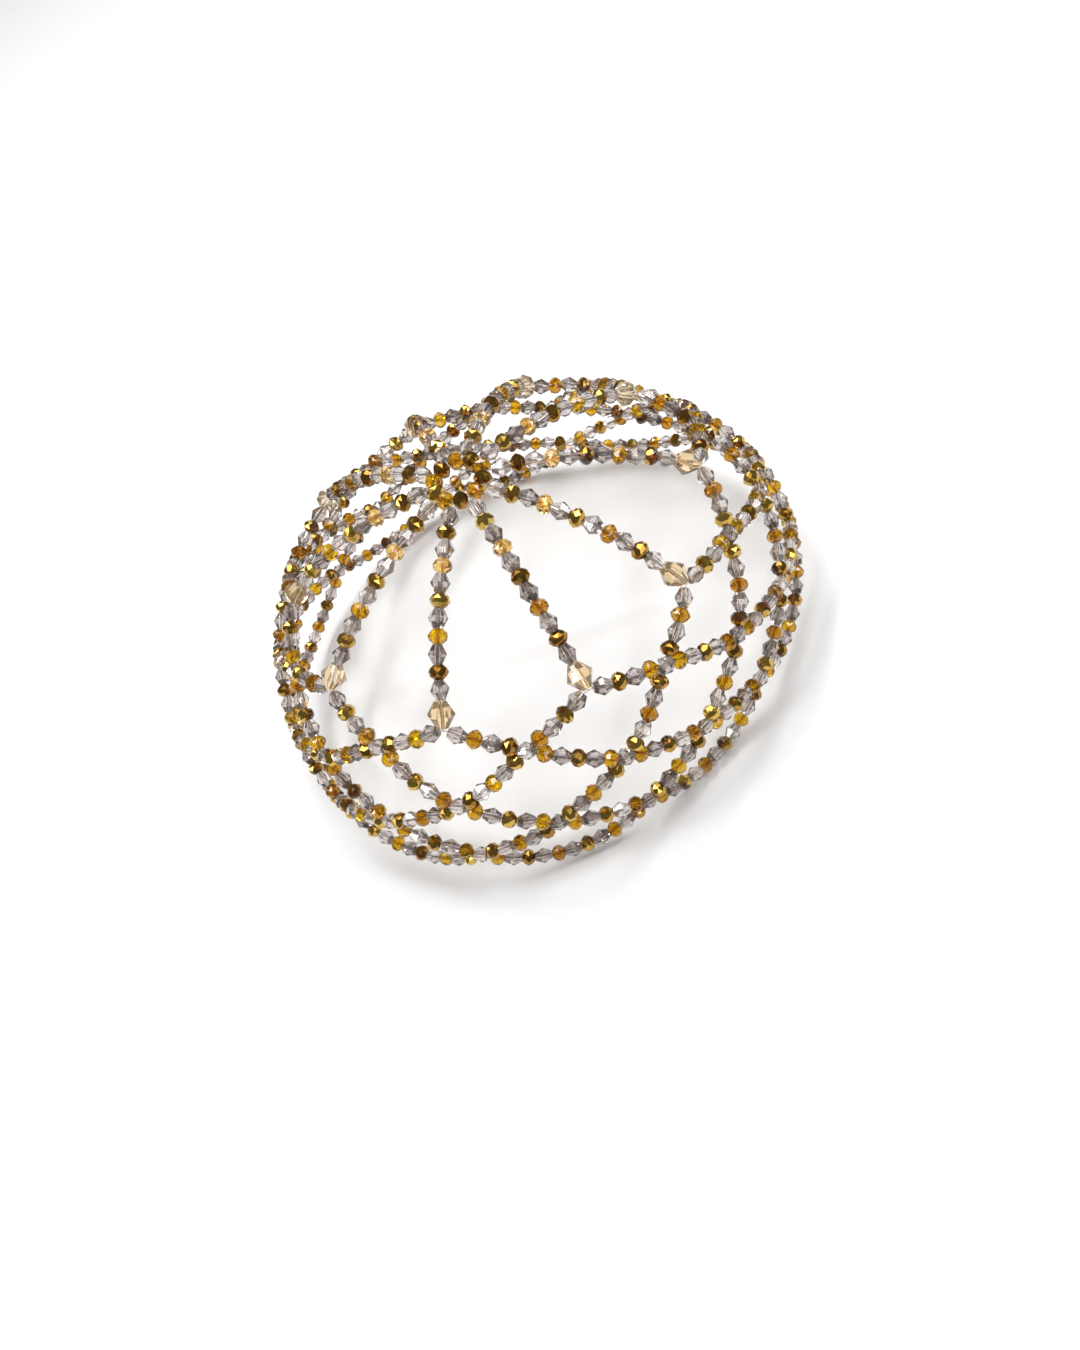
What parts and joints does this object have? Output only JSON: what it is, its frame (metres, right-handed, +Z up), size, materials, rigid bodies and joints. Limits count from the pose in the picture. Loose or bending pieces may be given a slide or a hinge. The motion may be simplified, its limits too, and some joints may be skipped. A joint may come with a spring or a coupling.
{
  "type": "beaded net skullcap",
  "caption": "Close dome-shaped cap made of an open net of faceted glass beads strung on clear thread.",
  "frame": {"origin": "the inside of the crown, on the cap's axis, where the cap sits on the top of the head", "axes": "+Z up along the cap's axis, +X along its longer way, front to back of the head, +Y across the head"},
  "size_m": [0.1929, 0.1692, 0.0923],
  "materials": {
    "smoke_glass": "transparent smoky grey glass, cut in facets and polished",
    "gold_coated_glass": "glass with a polished gold and bronze metallic coat, cut in facets",
    "amber_glass": "transparent amber glass, cut in facets and polished",
    "champagne_glass": "transparent pale champagne glass, cut in facets and polished",
    "nylon_thread": "clear nylon thread, seen as fine pale lines"
  },
  "bodies": {
    "root": {"crown_ring": "gold_coated_glass", "spoke_01": "smoke_glass", "spoke_02": "smoke_glass", "spoke_03": "smoke_glass", "spoke_04": "smoke_glass", "spoke_05": "smoke_glass", "spoke_06": "smoke_glass", "spoke_07": "smoke_glass", "spoke_08": "smoke_glass", "spoke_09": "smoke_glass", "spoke_10": "smoke_glass", "accent_bead_01": "champagne_glass", "accent_bead_02": "champagne_glass", "accent_bead_03": "champagne_glass", "accent_bead_04": "champagne_glass", "accent_bead_05": "champagne_glass", "accent_bead_06": "champagne_glass", "accent_bead_07": "champagne_glass", "accent_bead_08": "champagne_glass", "accent_bead_09": "champagne_glass", "accent_bead_10": "champagne_glass", "row_1_scallop_01": "smoke_glass", "row_1_scallop_02": "smoke_glass", "row_1_scallop_03": "smoke_glass", "row_1_scallop_04": "smoke_glass", "row_1_scallop_05": "smoke_glass", "row_1_scallop_06": "smoke_glass", "row_1_scallop_07": "smoke_glass", "row_1_scallop_08": "smoke_glass", "row_1_scallop_09": "smoke_glass", "row_1_scallop_10": "smoke_glass", "row_2_loop_01": "amber_glass", "row_2_loop_02": "amber_glass", "row_2_loop_03": "amber_glass", "row_2_loop_04": "amber_glass", "row_2_loop_05": "amber_glass", "row_2_loop_06": "amber_glass", "row_2_loop_07": "amber_glass", "row_2_loop_08": "amber_glass", "row_2_loop_09": "amber_glass", "row_2_loop_10": "amber_glass", "row_3_loop_01": "smoke_glass", "row_3_loop_02": "smoke_glass", "row_3_loop_03": "smoke_glass", "row_3_loop_04": "smoke_glass", "row_3_loop_05": "smoke_glass", "row_3_loop_06": "smoke_glass", "row_3_loop_07": "smoke_glass", "row_3_loop_08": "smoke_glass", "row_3_loop_09": "smoke_glass", "row_3_loop_10": "smoke_glass", "row_4_net": "amber_glass", "rim_strand": "gold_coated_glass"}
  },
  "joints": []
}
